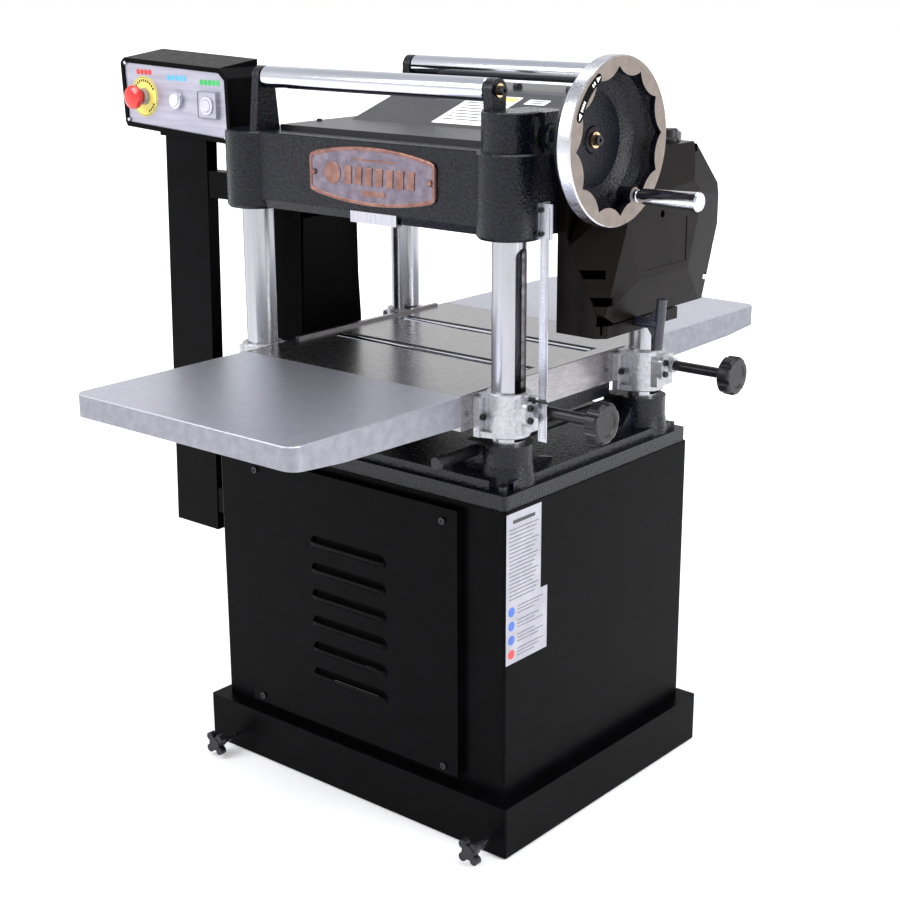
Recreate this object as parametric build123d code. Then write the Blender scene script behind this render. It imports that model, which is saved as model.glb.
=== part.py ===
from build123d import *
import os
from math import sin, cos, pi, radians, sqrt, atan2, acos, degrees, tan

# Thickness planer with a fixed head on four slotted columns and a rising table.
# Millimetres.  Origin: floor level, midway between the columns.
# +X is the handwheel side, -Y the infeed (operator) side, +Z up.

# ---------------------------------------------------------------- dimensions
TABLE_W = 508.0            # table width (20 in)
TABLE_Z = 798.0            # table top above the floor
TABLE_HALF_L = 280.0       # main table half length
WING_END = 664.0           # outer edge of each extension wing
COL_X, COL_Y = 290.0, 200.0
COL_R, COL_IR = 28.5, 20.5
SLOT_W = 30.0
SLOT_Z0, SLOT_Z1 = 716.0, 1036.0
PLINTH_X, PLINTH_Y, PLINTH_Z = 367.0, 300.0, 96.0
CAB_X, CAB_Y, CAB_Z = 342.0, 273.0, 615.0
STEP_Z1, STEP_Z2, SOCKET_Z = 641.0, 658.0, 711.0
HEAD_Z0, HEAD_Z1 = 1050.0, 1187.0
BOSS_R = 54.0
BEAM_Y = 232.0
CUT_Y, CUT_Z, CUT_R = 29.0, 1071.0, 40.5
FEED_R = 30.0
INF_Y, OUTF_Y, FEED_Z = -64.5, 122.0, 1059.3
WHEEL_Y, WHEEL_Z, WHEEL_R = -160.0, 1210.0, 130.0
WHEEL_FACE = 471.0
ROLL_Z, ROLL_R = 1280.0, 19.0
SCREW_R = 10.0             # table elevating screw, 20 x 4
MOTOR_Y, MOTOR_Z = 40.0, 450.0
BELT_X = 388.0             # belt plane (on the left, so -BELT_X)

os.makedirs("parts", exist_ok=True)
C4 = [(-1, -1), (1, -1), (-1, 1), (1, 1)]


# ---------------------------------------------------------------- helpers
def box(x0, x1, y0, y1, z0, z1):
    return Pos((x0 + x1) / 2, (y0 + y1) / 2, (z0 + z1) / 2) * Box(abs(x1 - x0), abs(y1 - y0), abs(z1 - z0))


def cx(x0, x1, y, z, r):
    return Pos((x0 + x1) / 2, y, z) * Rot(0, 90, 0) * Cylinder(r, abs(x1 - x0))


def cy(x, y0, y1, z, r):
    return Pos(x, (y0 + y1) / 2, z) * Rot(90, 0, 0) * Cylinder(r, abs(y1 - y0))


def cz(x, y, z0, z1, r):
    return Pos(x, y, (z0 + z1) / 2) * Cylinder(r, abs(z1 - z0))


def px(pts, x0, x1):
    """Prism along X of a polygon in (y, z)."""
    pl = Plane(origin=(x0, 0, 0), x_dir=(0, 1, 0), z_dir=(1, 0, 0))
    return extrude(pl * Polygon(*pts, align=None), amount=x1 - x0, dir=(1, 0, 0))


def py(pts, y0, y1):
    """Prism along Y of a polygon in (x, z)."""
    pl = Plane(origin=(0, y1, 0), x_dir=(1, 0, 0), z_dir=(0, -1, 0))
    return extrude(pl * Polygon(*pts, align=None), amount=y1 - y0, dir=(0, -1, 0))


def pz(pts, z0, z1):
    pl = Plane(origin=(0, 0, z0), x_dir=(1, 0, 0), z_dir=(0, 0, 1))
    return extrude(pl * Polygon(*pts, align=None), amount=z1 - z0, dir=(0, 0, 1))


def rect_round(w, h, r):
    return RectangleRounded(w, h, r)


def rbox(x0, x1, y0, y1, z0, z1, r):
    """Box with rounded vertical edges."""
    pl = Plane(origin=((x0 + x1) / 2, (y0 + y1) / 2, z0), x_dir=(1, 0, 0), z_dir=(0, 0, 1))
    return extrude(pl * RectangleRounded(x1 - x0, y1 - y0, r), amount=z1 - z0)


def slot_y(xc, zc, length, width, y0, y1):
    """Horizontal rounded slot cutter through a face that looks along Y."""
    pl = Plane(origin=(xc, y1, zc), x_dir=(1, 0, 0), z_dir=(0, -1, 0))
    return extrude(pl * SlotOverall(length, width), amount=y1 - y0)


def rev_x(pts, y, z):
    """Revolve a polygon in (x, r) about the X axis line at (y, z)."""
    pl = Plane(origin=(0, y, z), x_dir=(1, 0, 0), z_dir=(0, -1, 0))
    face = pl * Polygon(*pts, align=None)
    return revolve(face, Axis((0, y, z), (1, 0, 0)), 360)


def rev_z(pts, x, y):
    """Revolve a polygon in (r, z) about the vertical line at (x, y)."""
    pl = Plane(origin=(x, y, 0), x_dir=(1, 0, 0), z_dir=(0, -1, 0))
    face = pl * Polygon(*pts, align=None)
    return revolve(face, Axis((x, y, 0), (0, 0, 1)), 360)


def rev_y(pts, x, z):
    """Revolve a polygon in (r, y) about the Y axis line at (x, z)."""
    pl = Plane(origin=(x, 0, z), x_dir=(1, 0, 0), z_dir=(0, 0, 1))
    face = pl * Polygon(*pts, align=None)
    return revolve(face, Axis((x, 0, z), (0, 1, 0)), 360)


def half(obj, point, normal):
    """Keep the side of obj behind the plane (opposite to normal)."""
    return split(obj, bisect_by=Plane(origin=point, z_dir=normal), keep=Keep.BOTTOM)


def save(name, *objs):
    solids = []
    for o in objs:
        if isinstance(o, (list, tuple)):
            for q in o:
                solids += list(q.solids())
        else:
            solids += list(o.solids())
    shape = solids[0] if len(solids) == 1 else Compound(children=[Solid(s.wrapped) for s in solids])
    shape.label = name
    export_step(shape, "parts/" + name + ".step")


def screw_x(x, y, z, d, s, head_r=5.0, head_h=3.0):
    """Button head on a face that looks along +X (d=1) or -X (d=-1), with a short shank."""
    h = rev_x([(x, 0.01), (x + d * head_h, 0.01), (x + d * head_h, head_r * 0.62), (x + d * head_h * 0.55, head_r * 0.92), (x, head_r)], y, z)
    return h


def socket_z(x, y, z, r, h, hexr):
    s = cz(x, y, z, z + h, r)
    return s - Pos(x, y, z + h - h * 0.3) * extrude(RegularPolygon(hexr, 6), amount=h)


def socket_x(x, y, z, r, h, hexr, d=1):
    s = cx(x, x + d * h, y, z, r)
    c = Pos(x + d * h * 0.55, y, z) * Rot(0, 90 * d, 0) * extrude(RegularPolygon(hexr, 6), amount=h)
    return s - c


def socket_y(x, y, z, r, h, hexr, d=-1):
    s = cy(x, y, y + d * h, z, r)
    c = Pos(x, y + d * h * 0.55, z) * Rot(-90 * d, 0, 0) * extrude(RegularPolygon(hexr, 6), amount=h)
    return s - c


# ================================================================ mobile base
plinth = rbox(-PLINTH_X, PLINTH_X, -PLINTH_Y, PLINTH_Y, 3, PLINTH_Z, 4)
plinth -= box(-PLINTH_X + 4, PLINTH_X - 4, -PLINTH_Y + 4, PLINTH_Y - 4, 0, PLINTH_Z - 4)
plinth -= box(-290, 290, -215, 215, 80, 120)
plinth += box(-PLINTH_X + 3, PLINTH_X - 3, -30, 30, 3, 9)
plinth += cz(0, 0, 0, 4, 30)
KNOB_L, KNOB_R, KNOB_Z = -302.0, 331.0, 28.0
for kx in (KNOB_L, KNOB_R):
    plinth -= cy(kx, -310, -290, KNOB_Z, 5.4)
save("base_plinth", plinth)

WH_R = 30.0
WH_FY, WH_RY = -255.0, 255.0
forks = []
for wx, wy in ((KNOB_L, WH_FY), (KNOB_R, WH_FY), (-315, WH_RY), (315, WH_RY)):
    f = box(wx - 19, wx + 19, wy - 24, wy + 24, 86, 92)
    for s in (-1, 1):
        f += box(wx + s * 15, wx + s * 19, wy - 20, wy + 20, 20, 92)
    f -= cx(wx - 30, wx + 30, wy, WH_R, 6.3)
    forks.append(f)
save("caster_forks", forks)
for nm, wy, xs in (("front_wheels", WH_FY, (KNOB_L, KNOB_R)), ("rear_wheels", WH_RY, (-315, 315))):
    ax = cx(xs[0] - 24, xs[1] + 24, wy, WH_R, 6.0)
    parts = [ax]
    for wx in xs:
        w = rev_x([(wx - 11, 6.0), (wx - 11, 27.5), (wx - 8, 30), (wx + 8, 30), (wx + 11, 27.5), (wx + 11, 6.0)], wy, WH_R)
        parts.append(w)
    save(nm, parts)

for nm, kx in (("brake_knob_left", KNOB_L), ("brake_knob_right", KNOB_R)):
    k = cy(kx, -358, -344, KNOB_Z, 13)
    for i in range(4):
        a = radians(45 + 90 * i)
        k += cy(kx + 17 * cos(a), -357, -345, KNOB_Z + 17 * sin(a), 8)
    k += rev_y([(0.01, -345), (13, -345), (7.5, -328), (7.5, -318), (0.01, -318)], kx, KNOB_Z)
    k += cy(kx, -320, -287.5, KNOB_Z, 5.0)
    save(nm, k)

# ================================================================ cabinet
t = 3.0
cab = rbox(-CAB_X, CAB_X, -CAB_Y, CAB_Y, PLINTH_Z, CAB_Z, 5)
cab -= box(-CAB_X + t, CAB_X - t, -CAB_Y + t, CAB_Y - t, PLINTH_Z + t, CAB_Z - t)
cab -= box(-CAB_X + 52, CAB_X - 52, -CAB_Y + 52, CAB_Y - 52, PLINTH_Z - 10, CAB_Z + 10)
cab -= box(-225, 220, -CAB_Y - 5, -CAB_Y + 10, 140, 575)
cab -= cx(-CAB_X - 5, -CAB_X + 10, MOTOR_Y, MOTOR_Z, 34)           # motor shaft opening
for i in range(5):                                                      # rear vents
    cab -= slot_y(0, 200 + i * 46, 180, 12, CAB_Y - 10, CAB_Y + 5)
save("cabinet_shell", cab)

DOOR_X0, DOOR_X1, DOOR_Z0, DOOR_Z1 = -257.0, 252.0, 114.0, 603.0
door = box(DOOR_X0, DOOR_X1, -CAB_Y - 15, -CAB_Y, DOOR_Z0, DOOR_Z1)
door = fillet(door.edges().filter_by(Axis.Y), 3)
door -= box(DOOR_X0 + 2.5, DOOR_X1 - 2.5, -CAB_Y - 12.5, -CAB_Y + 1, DOOR_Z0 + 2.5, DOOR_Z1 - 2.5)
LOUV_Z = [219 + 51.4 * i for i in range(6)]
for z in LOUV_Z:
    door -= slot_y(-1, z, 178, 18, -CAB_Y - 20, -CAB_Y)
for sx in (-230, 221):
    for sz in (128, 580):
        door += cy(sx, -CAB_Y - 12.6, -CAB_Y, sz, 7)
save("cabinet_door", door)

# ================================================================ base casting
b = rbox(-CAB_X + 2, CAB_X - 2, -CAB_Y + 2, CAB_Y - 2, CAB_Z, STEP_Z1, 8)
upper = rbox(-CAB_X + 12, CAB_X - 12, -CAB_Y + 12, CAB_Y - 12, STEP_Z1, STEP_Z2, 6)
for sx, sy in C4:
    upper -= rbox(sx * 318 - 20, sx * 318 + 20, sy * 252 - 16, sy * 252 + 16, STEP_Z1 - 1, STEP_Z2 + 1, 8)
b += upper
for sx, sy in C4:
    x, y = sx * COL_X, sy * COL_Y
    b += rev_z([(0.01, STEP_Z1 - 2), (47, STEP_Z1 - 2), (47, STEP_Z1 + 4), (42, 676), (42, SOCKET_Z), (0.01, SOCKET_Z)], x, y)
    # swept webs towards the middle
    xs = [x - sx * 150, x - sx * 30, x - sx * 30, x - sx * 60]
    b += py([(x - sx * 140, STEP_Z2 - 1), (x - sx * 36, STEP_Z2 - 1), (x - sx * 36, 702), (x - sx * 52, 694), (x - sx * 80, 668)], y - 8, y + 8)
    b += px([(y - sy * 120, STEP_Z2 - 1), (y - sy * 36, STEP_Z2 - 1), (y - sy * 36, 702), (y - sy * 50, 694), (y - sy * 75, 668)], x - 8, x + 8)
    # lug that guides the lifting bar
    b += box(sx * 218, sx * 256, y - 22, y + 22, STEP_Z2 - 1, 706)
b -= box(-CAB_X + 22, CAB_X - 22, -CAB_Y + 22, CAB_Y - 22, CAB_Z - 1, CAB_Z + 18)
for sx, sy in C4:
    x, y = sx * COL_X, sy * COL_Y
    b -= cz(x, y, 645, 730, COL_R)
    b -= cz(x, y, 600, 650, SCREW_R + 0.4)
    b -= cy(sx * 233, y - 40, y + 40, 689, 10.3)
    b -= cz(sx * 319, sy * 251, 600, STEP_Z1 - 6, 5)
save("base_casting", b)

cols = []
for sx, sy in C4:
    x, y = sx * COL_X, sy * COL_Y
    c = cz(x, y, 645, 1180, COL_R) - cz(x, y, 640, 1190, COL_IR)
    cut = box(x, x + sx * 40, y - SLOT_W / 2, y + SLOT_W / 2, SLOT_Z0, SLOT_Z1 - SLOT_W / 2)
    cut += cx(x, x + sx * 40, y, SLOT_Z1 - SLOT_W / 2, SLOT_W / 2)
    cols.append(c - cut)
save("columns", cols)

# lifting bars through the casting lugs
for nm, s in (("lifting_bar_left", -1), ("lifting_bar_right", 1)):
    bar = cy(s * 233, -306, 306, 689, 10.0)
    for e in (-1, 1):
        bar += rev_y([(0.01, e * 304), (13, e * 304), (13, e * 316), (10.5, e * 319), (0.01, e * 319)], s * 233, 689)
    save(nm, bar)

# ================================================================ elevating screws, sprockets and chain
SPR_R = 23.0
SPR_Z0, SPR_Z1 = 617.0, 629.0


def sprocket(x, y):
    s = cz(x, y, 620, 625, SPR_R)
    for i in range(16):
        a = 2 * pi * i / 16
        s -= cz(x + (SPR_R + 0.8) * cos(a), y + (SPR_R + 0.8) * sin(a), 619, 626, 2.6)
    s += cz(x, y, 617, 629, 15)
    return s - cz(x, y, 610, 635, SCREW_R)


for nm, sx, sy in (("leadscrew_front_left", -1, -1), ("leadscrew_front_right", 1, -1), ("leadscrew_rear_left", -1, 1), ("leadscrew_rear_right", 1, 1)):
    x, y = sx * COL_X, sy * COL_Y
    top = 1176.0 if nm != "leadscrew_front_right" else 1222.0
    s = cz(x, y, 616, top, SCREW_R)
    items = [s, sprocket(x, y)]
    if nm == "leadscrew_front_right":
        g = rev_z([(SCREW_R, 1194), (30, 1194), (30, 1198), (22, 1208), (SCREW_R, 1208)], x, y)
        for i in range(20):
            a = 2 * pi * i / 20
            g -= Pos(x, y, 0) * Rot(0, 0, degrees(a)) * Pos(28.5, 0, 1202) * Rot(0, 40, 0) * Box(14, 2.4, 6)
        items.append(g)
    save(nm, items)

CH = 2.6
ch_o = rbox(-COL_X - SPR_R - 1.0 - CH, COL_X + SPR_R + 1.0 + CH, -COL_Y - SPR_R - 1.0 - CH, COL_Y + SPR_R + 1.0 + CH, 620, 625, SPR_R + 1.0 + CH)
ch_i = rbox(-COL_X - SPR_R - 1.0, COL_X + SPR_R + 1.0, -COL_Y - SPR_R - 1.0, COL_Y + SPR_R + 1.0, 610, 635, SPR_R + 1.0)
lift_chain = ch_o - ch_i

# ================================================================ head casting
h = None
for sx, sy in C4:
    x, y = sx * COL_X, sy * COL_Y
    bz = HEAD_Z1
    boss = rev_z([(0.01, HEAD_Z0), (BOSS_R - 4, HEAD_Z0), (BOSS_R, HEAD_Z0 + 5), (BOSS_R, bz - 3), (BOSS_R - 3, bz), (0.01, bz)], x, y)
    h = boss if h is None else h + boss
# side frames
h += px([(-200, 1056), (-100, 1056), (-90, 1044), (146, 1044), (156, 1056), (200, 1056), (200, HEAD_Z1), (-200, HEAD_Z1)], 262, 344)
h += px([(-200, 1056), (-100, 1056), (-90, 1044), (146, 1044), (156, 1056), (200, 1056), (200, HEAD_Z1), (-200, HEAD_Z1)], -302, -262)
h -= box(304, 350, -140, 140, 1060, HEAD_Z1 - 14)
# front beam with its undercut lower lip, rear beam
h += px([(-BEAM_Y, 1068), (-BEAM_Y + 9, HEAD_Z0 + 3), (-206, HEAD_Z0 + 3), (-206, 1176), (-176, 1176), (-176, HEAD_Z1), (-BEAM_Y + 2, HEAD_Z1), (-BEAM_Y, HEAD_Z1 - 2)], -COL_X, COL_X)
h += px([(BEAM_Y, 1090), (BEAM_Y, HEAD_Z1), (196, HEAD_Z1), (196, 1176), (214, 1176), (214, 1090)], -COL_X, COL_X)
for sx, sy in C4:
    x, y = sx * COL_X, sy * COL_Y
    h -= cz(x, y, 1040, 1180, COL_R)
h -= cz(COL_X, -COL_Y, 1170, 1200, SCREW_R + 0.4)
# bearing bores
for x0, x1 in ((-310, -255), (255, 350)):
    h -= cx(x0, x1, CUT_Y, CUT_Z, 31)
    for fy in (INF_Y, OUTF_Y):
        h -= cx(x0, x1, fy, FEED_Z, 20)
KICK_Y, KICK_Z = -150.0, 1128.0
h -= cx(-276, 276, KICK_Y, KICK_Z, 8.3)
save("head_casting", h)

bear = []
for s in (-1, 1):
    bear.append(cx(s * 266, s * 290, CUT_Y, CUT_Z, 31) - cx(s * 260, s * 300, CUT_Y, CUT_Z, 18.0))
    for fy in (INF_Y, OUTF_Y):
        bear.append(cx(s * 264, s * 300, fy, FEED_Z, 20) - cx(s * 250, s * 310, fy, FEED_Z, 12.3))
save("shaft_bearings", bear)

# ---------------------------------------------------------------- name plate and depth stop
PLATE_X0, PLATE_X1, PLATE_Z0, PLATE_Z1 = -120.0, 166.0, 1080.0, 1178.0
pl_pts = []
pxc, pzc = (PLATE_X0 + PLATE_X1) / 2, (PLATE_Z0 + PLATE_Z1) / 2
hw, hh = (PLATE_X1 - PLATE_X0) / 2, (PLATE_Z1 - PLATE_Z0) / 2
with BuildPart() as _np:
    with BuildSketch(Plane(origin=(pxc, -BEAM_Y, pzc), x_dir=(1, 0, 0), z_dir=(0, -1, 0))):
        with BuildLine():
            a1 = ThreePointArc((-hw + 12, hh - 14), (0, hh), (hw - 12, hh - 14))
            a2 = ThreePointArc((hw - 12, -hh + 14), (0, -hh), (-hw + 12, -hh + 14))
            Polyline((hw - 12, hh - 14), (hw, hh - 24), (hw, -hh + 24), (hw - 12, -hh + 14))
            Polyline((-hw + 12, -hh + 14), (-hw, -hh + 24), (-hw, hh - 24), (-hw + 12, hh - 14))
        make_face()
    extrude(amount=3.0)
plate = _np.part
plate = fillet(plate.edges().filter_by(Axis.Y), 8)
for s in (-1, 1):
    plate -= cy(pxc + s * (hw - 12), -BEAM_Y - 5, -BEAM_Y + 5, pzc, 3.2)
save("name_plate", plate)

stop = box(-26, 78, -BEAM_Y - 3, -BEAM_Y, 1055, 1069) + box(-26, 78, -BEAM_Y - 3, -BEAM_Y + 12, 1050, 1053) + box(-26, 78, -BEAM_Y - 3, -BEAM_Y, 1050, 1056)
save("depth_stop", stop)

# ---------------------------------------------------------------- top cover and dust hood
tc = box(-247, 247, -178, 205, HEAD_Z1, HEAD_Z1 + 9)
tc -= box(-244.5, 244.5, -175.5, 202.5, HEAD_Z1 - 1, HEAD_Z1 + 6.5)
tc -= box(-196, 196, -20, 190, HEAD_Z1 - 1, HEAD_Z1 + 20)
save("top_cover", tc)

HOOD_X = 208.0
prof = [(-36, 1196), (120, 1246), (296, 1248), (345, 1215), (345, 1105), (236, 1105), (236, 1196)]
prof_i = [(-26, 1194), (121, 1243.2), (295, 1245.2), (342.2, 1213.4), (342.2, 1107.8), (238.8, 1107.8), (238.8, 1194)]
hood = px(prof, -HOOD_X, HOOD_X) - px(prof_i, -HOOD_X + 2.8, HOOD_X - 2.8)
hood += cy(0, 344, 395, 1160, 50)
hood -= cy(0, 330, 400, 1160, 47.5)
for hx, hy in ((-3, 197), (130, 180)):
    hood += rev_z([(0.01, 1245.5), (9, 1245.5), (9, 1252), (7, 1256), (0.01, 1256)], hx, hy)
save("dust_hood", hood)

# ---------------------------------------------------------------- return rollers and their brackets
BR_L0, BR_L1 = -273.0, -256.0
BR_R0, BR_R1 = 250.0, 268.0
br = []


def arm(x0, x1, y, z0, wbot, wtop):
    a = px([(y - wbot / 2, z0), (y + wbot / 2, z0), (y + wtop / 2, ROLL_Z), (y - wtop / 2, ROLL_Z)], x0, x1)
    a += cx(x0, x1, y, ROLL_Z, wtop / 2)
    return a - cx(x0 - 1, x1 + 1, y, ROLL_Z, 6.2)


GBX_Z = 1250.0
br.append(arm(BR_L0, BR_L1, -COL_Y, HEAD_Z1, 58, 38))
br.append(arm(BR_L0, BR_L1, COL_Y, HEAD_Z1, 58, 38))
br.append(arm(BR_R0, BR_R1, -COL_Y, HEAD_Z1 + 63.0, 34, 38))
br.append(arm(BR_R0, BR_R1, COL_Y, HEAD_Z1, 58, 38))
save("roller_brackets", br)
for nm, y in (("return_roller_front", -COL_Y), ("return_roller_rear", COL_Y)):
    r = rev_x([(-253.0, 6.0), (-253.0, ROLL_R - 1.2), (-251.8, ROLL_R), (245.8, ROLL_R), (247.0, ROLL_R - 1.2), (247.0, 6.0)], y, ROLL_Z)
    r += cx(BR_L0 + 1, BR_R1 - 1, y, ROLL_Z, 6.0)
    save(nm, r)

# ---------------------------------------------------------------- elevating gearbox
gx = rev_z([(0.01, HEAD_Z1), (46, HEAD_Z1), (46, GBX_Z - 2), (44, GBX_Z), (0.01, GBX_Z)], COL_X, -COL_Y)
gx += box(COL_X - 30, 345, -182, -118, HEAD_Z1, GBX_Z - 1)
gx += box(246, COL_X, -217, -183, HEAD_Z1, GBX_Z)
gx -= box(COL_X - 34, COL_X + 47, -197, -124, HEAD_Z1 - 1, GBX_Z - 8)
gx -= cz(COL_X, -COL_Y, HEAD_Z1 - 1, GBX_Z - 8, 34)
gx += rev_x([(345, 0.01), (345, 21), (350, 20), (356, 13), (356, 0.01)], WHEEL_Y, WHEEL_Z)
gx -= cx(320, 380, WHEEL_Y, WHEEL_Z, 9.3)
save("elevation_gearbox", gx)

# ================================================================ handwheel
yw, zw = WHEEL_Y, WHEEL_Z
bowl = rev_x([(404, 9.0), (404, 24), (412, 27), (413, 84), (424, 106), (438, 120), (446, 126), (447, 129), (449, 130), (469, 130), (471, 128),
              (471, 117), (458, 117), (444, 111), (430, 97), (422, 80), (420, 74), (420, 22), (423, 20), (423, 9.0)], yw, zw)
N = 12
PHASE = 3.0
rc, rl = 114.0, 100.5
pts = []
for i in range(N):
    a0 = radians(PHASE + 30 * i)
    pts.append((rc * cos(a0), rc * sin(a0)))
with BuildPart() as _lip:
    with BuildSketch(Plane(origin=(461, yw, zw), x_dir=(0, 1, 0), z_dir=(1, 0, 0))):
        Circle(118)
        with BuildSketch(mode=Mode.PRIVATE) as _sc:
            with BuildLine():
                for i in range(N):
                    am = radians(PHASE + 30 * i + 15)
                    ThreePointArc(pts[i], (rl * cos(am), rl * sin(am)), pts[(i + 1) % N])
            make_face()
        add(_sc.sketch, mode=Mode.SUBTRACT)
    extrude(amount=10)
wheel = bowl + _lip.part
HDL_Y, HDL_Z = -116.0, 1124.0
wheel += cx(445, 471, HDL_Y, HDL_Z, 13)
wheel -= cx(440, 480, HDL_Y, HDL_Z, 6.0)
save("handwheel", wheel)

wsh = cx(330, 404, yw, zw, 9.0) + cx(404, 424.5, yw, zw, 9.0)
pin = rev_x([(322, 0.01), (322, 13), (329, 21.5), (333, 21.5), (333, 0.01)], yw, zw)
for i in range(16):
    a = 360 * i / 16
    pin -= Pos(326, yw, zw) * Rot(a, 0, 0) * Pos(0, 0, 20.5) * Box(16, 2.4, 6)
wash = cx(424.5, 427, yw, zw, 12.5)
bolt = socket_x(427, yw, zw, 8, 8, 3.6)
spin = cx(447, 576, HDL_Y, HDL_Z, 6.0)
save("handwheel_shaft", wsh + pin, wash, bolt, spin)
HDL_X0, HDL_X1 = 471.3, 590.0
hd = rev_x([(HDL_X0, 6.3), (HDL_X0, 9.8), (478, 9.8), (479, 8.6), (481, 8.6), (482, 10.2), (486, 10.2), (488, 12.2), (510, 13.2), (560, 14.0), (578, 14.6), (587, 15.2), (590, 13.6), (590, 0.01),
            (578, 0.01), (578, 6.3)], HDL_Y, HDL_Z)
save("crank_handle", hd)

# ================================================================ gear housing and cover on the right
gh = box(345, 362, -145, 145, 893, 1180)
gh += box(345, 436, -145, 75, 893, 913)
gh += py([(360, 903), (421.5, 903), (421.5, 934), (369.5, 1035), (362, 1050), (360, 1050)], -145, -141)
gh -= px([(-139, 919), (139, 919), (139, 1174), (-139, 1174)], 351, 364)
gh += cx(350, 362, 29, 987.5, 17)
gh = half(gh, (421.5, -145, 903), (1, -1, 0))
gh -= box(364, 430, -139, 69, 899, 920)
for gy, gz, gr in ((CUT_Y, CUT_Z, 19.0), (INF_Y, FEED_Z, 12.6), (OUTF_Y, FEED_Z, 12.6), (29, 987.5, 9.06)):
    gh -= cx(340, 365, gy, gz, gr)
LEV_Y, LEV_Z = -48.0, 909.0
gh -= cx(400, 445, LEV_Y, LEV_Z, 4.3)
save("gear_housing", gh)

PLAT = 440.0


def cover_solid(e):
    """Faceted cover volume, every facet moved inwards by e."""
    s = box(362.3, PLAT - e, -145 + e, 260, 850, 1230)

    def cut3(s, a, b2, c, out):
        A, B, Cc = Vector(*a), Vector(*b2), Vector(*c)
        n = (B - A).cross(Cc - A).normalized()
        if n.dot(Vector(*out)) < 0:
            n = n * -1
        o = A - n * e
        return half(s, (o.X, o.Y, o.Z), (n.X, n.Y, n.Z))
    # louvre facet at the front, lower facet, plateau surround
    s = cut3(s, (421.5, -145, 934), (369.5, -145, 1035.5), (440, -92, 1057), (1, -1, 0))
    s = cut3(s, (440, -92, 1057), (440, -48, 980), (436, -130, 934), (1, -1, 0))
    s = cut3(s, (440, 0, 977), (440, 100, 977), (434, 0, 919), (1, 0, -1))
    s = cut3(s, (440, 97, 977), (440, 135, 1098), (432, 200, 1039), (1, 1, 0))
    s = cut3(s, (440, 18, 1114), (440, 107, 1122), (430, 60, 1185), (1, 0, 1))
    s = cut3(s, (440, 107, 1124), (440, 135, 1098), (431, 160, 1147), (1, 1, 1))
    # perimeter, square to X
    for p, q, out in (((-20, 1184), (122, 1185), (0, 0, 1)), ((122, 1185), (196, 1109), (0, 1, 1)), ((196, 1109), (200, 1039), (0, 1, 0)),
                      ((200, 1039), (158, 916), (0, 1, -1)), ((158, 914.5), (-113, 914.5), (0, 0, -1)), ((-113, 916), (-145, 934), (0, -1, -1)),
                      ((-145, 1045), (-100, 1090), (0, -1, 1)), ((-100, 1090), (-20, 1184), (0, -1, 1))):
        s = cut3(s, (400, p[0], p[1]), (400, q[0], q[1]), (430, p[0], p[1]), out)
    return s


gc = cover_solid(0.0)
gci = cover_solid(3.5) + box(350, 364, -138, 138, 936, 1170)
gc -= gci
gc -= py([(350, 890), (421.9, 890), (421.9, 934.3), (369.9, 1035.4), (362.4, 1050.4), (350, 1050.4)], -146, -140.6)
gc -= box(350, 436.4, -146, 75.4, 890, 913.4)
# louvre slots in the front facet, notches in the rear edge, screw holes, shallow panel
for y0, z0 in ((0, 994.0), (0, 952.0)):
    sl = Pos(404 if z0 > 980 else 424, -133 if z0 > 980 else -138, z0) * Rot(0, 0, 27.5) * Box(46, 30, 14)
    gc -= sl
for (ny, nz) in ((188, 1003), (158, 951)):
    gc -= cx(360, 445, ny + 6, nz, 7)
for (sy2, sz2) in ((14, 1077),):
    gc -= cx(430, 445, sy2, sz2, 6)
gc -= box(PLAT - 1.0, PLAT + 1, -42, 90, 990, 1065)
gc -= box(PLAT - 14, PLAT + 5, 118, 126, 1168, 1190)
save("gear_cover", gc)

oc = rev_z([(0.01, 1185.3), (17, 1185.3), (17, 1190), (14, 1192), (13.5, 1204), (12, 1206), (0.01, 1206)], 396, 96)
save("oil_cap", oc)

# feed speed selector: shaft, hub, arm and cross bar
lv = cx(402, 440, LEV_Y, LEV_Z, 4.0)
lv += rev_x([(437, 0.01), (437, 8.0), (439, 8.8), (478, 8.0), (478, 0.01)], LEV_Y, LEV_Z)
lv += py([(452, 901.5), (452, 916.5), (462, 917), (473, 932), (486, 932), (484, 886), (472, 886), (462, 901)], LEV_Y - 6, LEV_Y + 6)
lv += Pos(481, LEV_Y, LEV_Z) * Rot(0, 4, 0) * (Cylinder(8.3, 84))
save("speed_lever", lv)

# ---------------------------------------------------------------- feed drive gears
def toothed_x(x0, x1, y, z, r, n, depth=3.0):
    g = cx(x0, x1, y, z, r)
    w = 2 * pi * r / n / 2
    for i in range(n):
        a = 360 * i / n
        g -= Pos((x0 + x1) / 2, y, z) * Rot(a, 0, 0) * Pos(0, 0, r) * Box(abs(x1 - x0) + 2, w, 2 * depth)
    return g


cut = cx(-252, 252, CUT_Y, CUT_Z, 38.0)
for i in range(4):
    a = 90 * i + 20
    cut -= Pos(0, CUT_Y, CUT_Z) * Rot(a, 0, 0) * Pos(0, 6, 34) * Box(520, 14, 22)
knives = []
for i in range(4):
    a = 90 * i + 20
    T = Pos(0, CUT_Y, CUT_Z) * Rot(a, 0, 0)
    knives.append(T * Pos(0, -0.0 + 1.0, 32.6) * Box(500, 3.2, 14.6))
    knives.append(T * Pos(0, 7.2, 29.0) * Box(500, 8.4, 10))
cut += cx(-408, 252, CUT_Y, CUT_Z, 17.7) + cx(250, 380, CUT_Y, CUT_Z, 17.7)
pul = rev_x([(-412, 17.7), (-412, 36), (-409, 36), (-405, 31), (-401, 36), (-397, 36), (-393, 31), (-389, 36), (-385, 36), (-381, 31), (-377, 36), (-366, 36), (-366, 17.7)], CUT_Y, CUT_Z)
pinion = toothed_x(366, 378, CUT_Y, CUT_Z, 24, 18, 2.5) - cx(360, 384, CUT_Y, CUT_Z, 17.7)
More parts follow.
